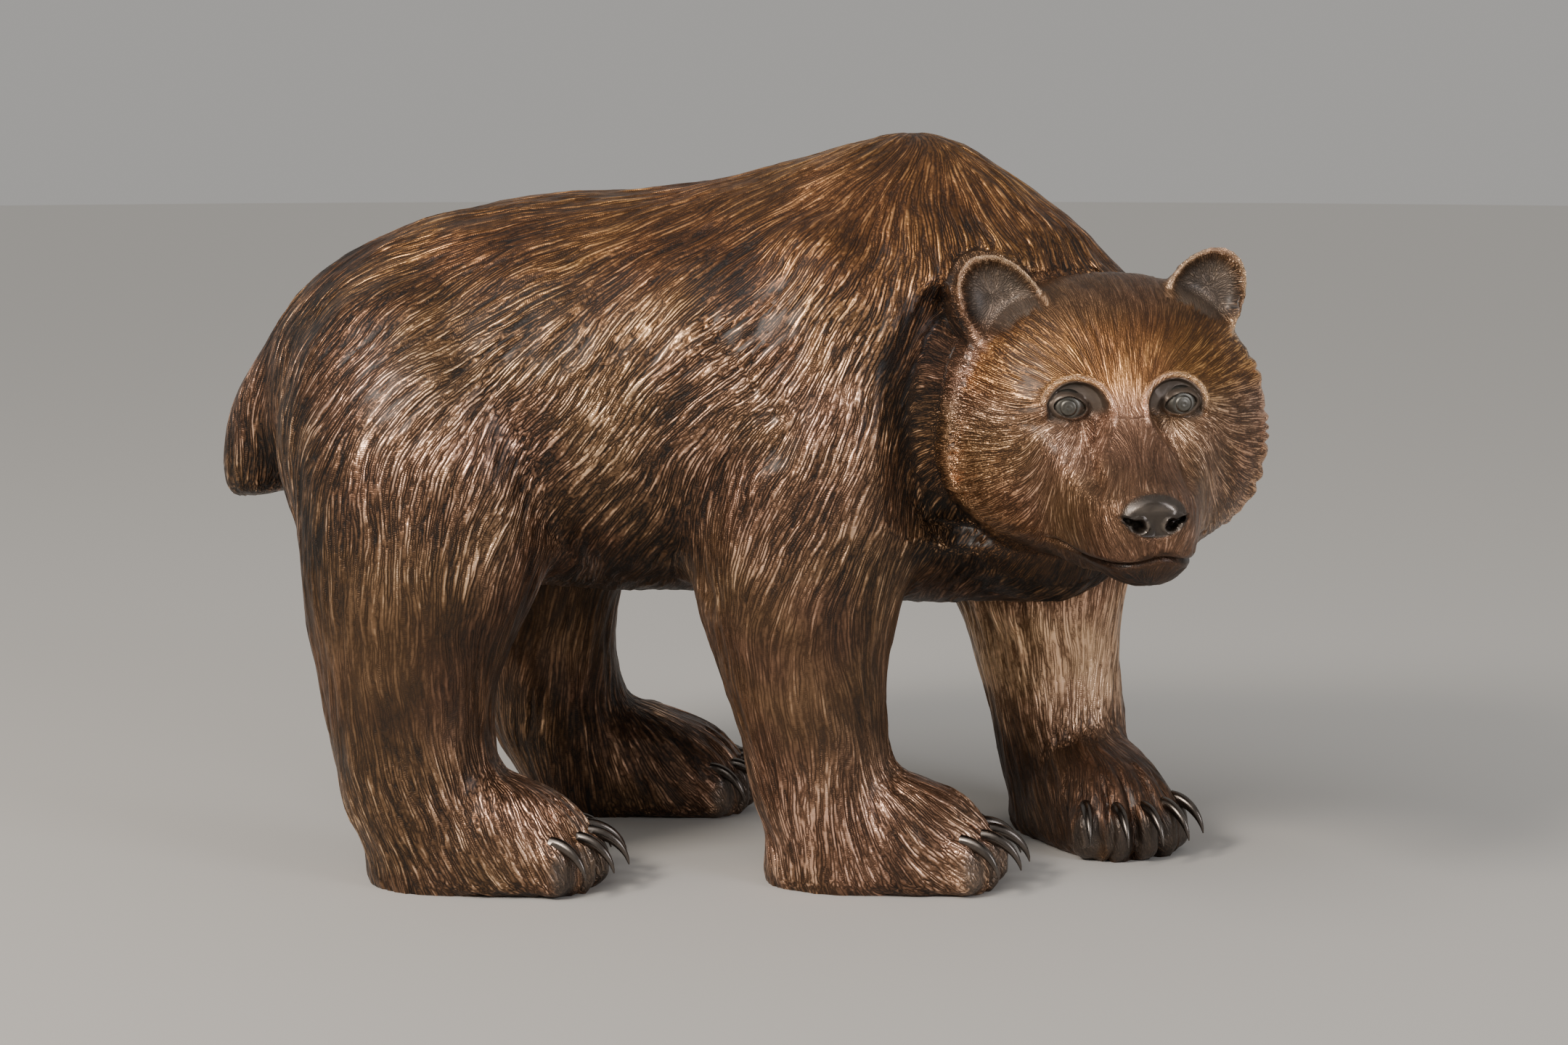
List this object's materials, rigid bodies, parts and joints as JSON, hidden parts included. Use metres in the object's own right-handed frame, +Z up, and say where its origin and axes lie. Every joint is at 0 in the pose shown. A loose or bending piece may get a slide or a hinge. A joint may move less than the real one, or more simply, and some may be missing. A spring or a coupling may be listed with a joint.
{
  "type": "bear cub sculpture",
  "caption": "Bear cub in cast bronze, standing on flat soles with its head turned to its right, its coat tooled in long strands.",
  "frame": {"origin": "middle of the box, on the plane of the soles", "axes": "+X the way the cub walks, +Y its left, +Z up"},
  "size_m": [0.8166, 0.4488, 0.5653],
  "materials": {
    "bronze": "cast bronze, warm dark-brown patina, burnished on the ridges of the coat and polished on nose and claws"
  },
  "bodies": {
    "root": {"bear_cub": "bronze"}
  },
  "joints": []
}
